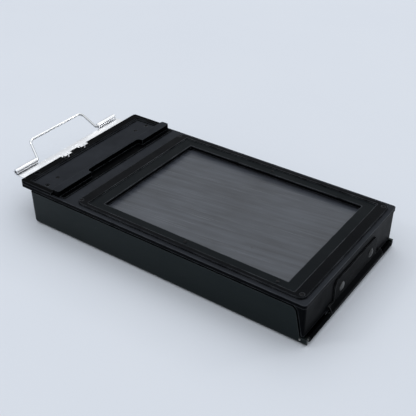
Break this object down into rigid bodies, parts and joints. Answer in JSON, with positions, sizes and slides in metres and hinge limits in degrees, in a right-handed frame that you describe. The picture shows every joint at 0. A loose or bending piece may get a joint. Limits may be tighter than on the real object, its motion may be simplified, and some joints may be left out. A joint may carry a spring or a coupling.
{
  "type": "sheet film holder",
  "caption": "Hinged-back magazine holder for sheet film: black metal case, framed lens window closed by a pull-out dark slide with a wire bail, light-trap rib and sprung stack of film sheaths.",
  "frame": {"origin": "middle of the case's flat back, on the face that it rests on", "axes": "+X along the length from the pull handle to the hinge, +Y across the width, +Z out of the lens side"},
  "size_m": [0.1493, 0.0724, 0.0237],
  "materials": {
    "shell_lacquer": "gloss black lacquer on drawn steel",
    "frame_lacquer": "satin black lacquer",
    "hinge_lacquer": "gloss black lacquer",
    "inner_black": "matt black paint",
    "sheath_black": "matt black oxide",
    "film_base": "film base",
    "slide_metal": "dark satin metal, lengthwise brushed",
    "grip_nickel": "bright nickel plate",
    "bail_chrome": "bright chrome wire",
    "bright_steel": "bare steel",
    "dark_fastener": "blackened steel",
    "guide_brass": "brass, darkened",
    "trap_felt": "black pile",
    "spring_bronze": "spring bronze"
  },
  "bodies": {
    "back_shell": {"back_hinge_leaf": "hinge_lacquer", "back_hinge_rivets": "dark_fastener", "back_shell": "shell_lacquer", "corner_rivets": "bright_steel", "hinge_pin": "bright_steel", "pressure_spring_back": "spring_bronze", "pressure_spring_front": "spring_bronze", "sheath_guides": "inner_black", "spring_rivets": "dark_fastener"},
    "front_frame": {"catch_springs": "spring_bronze", "chamber_partition": "inner_black", "cover_rivets": "dark_fastener", "cover_screws": "dark_fastener", "film_gate": "inner_black", "frame_hinge_leaf": "frame_lacquer", "frame_hinge_rivets": "bright_steel", "front_frame": "frame_lacquer", "gate_screws": "dark_fastener", "handle_cover": "frame_lacquer", "locating_rib": "frame_lacquer", "lower_trap_felt": "trap_felt", "plate_screws": "dark_fastener", "slide_end_spacer": "inner_black", "slide_guide_back": "guide_brass", "slide_guide_front": "guide_brass", "trap_bar": "inner_black", "trap_spring": "spring_bronze", "upper_trap_felt": "trap_felt", "window_plate": "frame_lacquer"},
    "dark_slide": {"dark_slide": "slide_metal", "grip_plate": "grip_nickel", "grip_rivets": "dark_fastener"},
    "bail": {"bail": "bail_chrome"},
    "film_stack": {"film_sheath_1": "sheath_black", "film_sheath_2": "sheath_black", "film_sheath_3": "sheath_black", "film_sheath_4": "sheath_black", "film_sheath_5": "sheath_black", "film_sheath_6": "sheath_black", "film_sheet_1": "film_base", "film_sheet_2": "film_base", "film_sheet_3": "film_base", "film_sheet_4": "film_base", "film_sheet_5": "film_base", "film_sheet_6": "film_base", "pressure_plate": "inner_black"}
  },
  "joints": [
    {"name": "back_hinge", "type": "hinge", "parent": "back_shell", "child": "front_frame", "pos_m": [0.06645, 0, 0.0019], "axis": [0, 1, 0], "range_deg": [0, 98]},
    {"name": "dark_slide_pull", "type": "slide", "parent": "front_frame", "child": "dark_slide", "axis": [-1, 0, 0], "range_m": [0, 0.095]},
    {"name": "bail_swing", "type": "hinge", "parent": "dark_slide", "child": "bail", "pos_m": [-0.0747, 0, 0.01703], "axis": [0, 1, 0], "range_deg": [-110, 105]},
    {"name": "pressure_plate_travel", "type": "slide", "parent": "back_shell", "child": "film_stack", "axis": [0, 0, 1], "range_m": [-0.0022, 0], "stiffness_N_per_m": 900, "springref_m": 0.004, "deforming": ["pressure_spring_front", "pressure_spring_back"]}
  ]
}
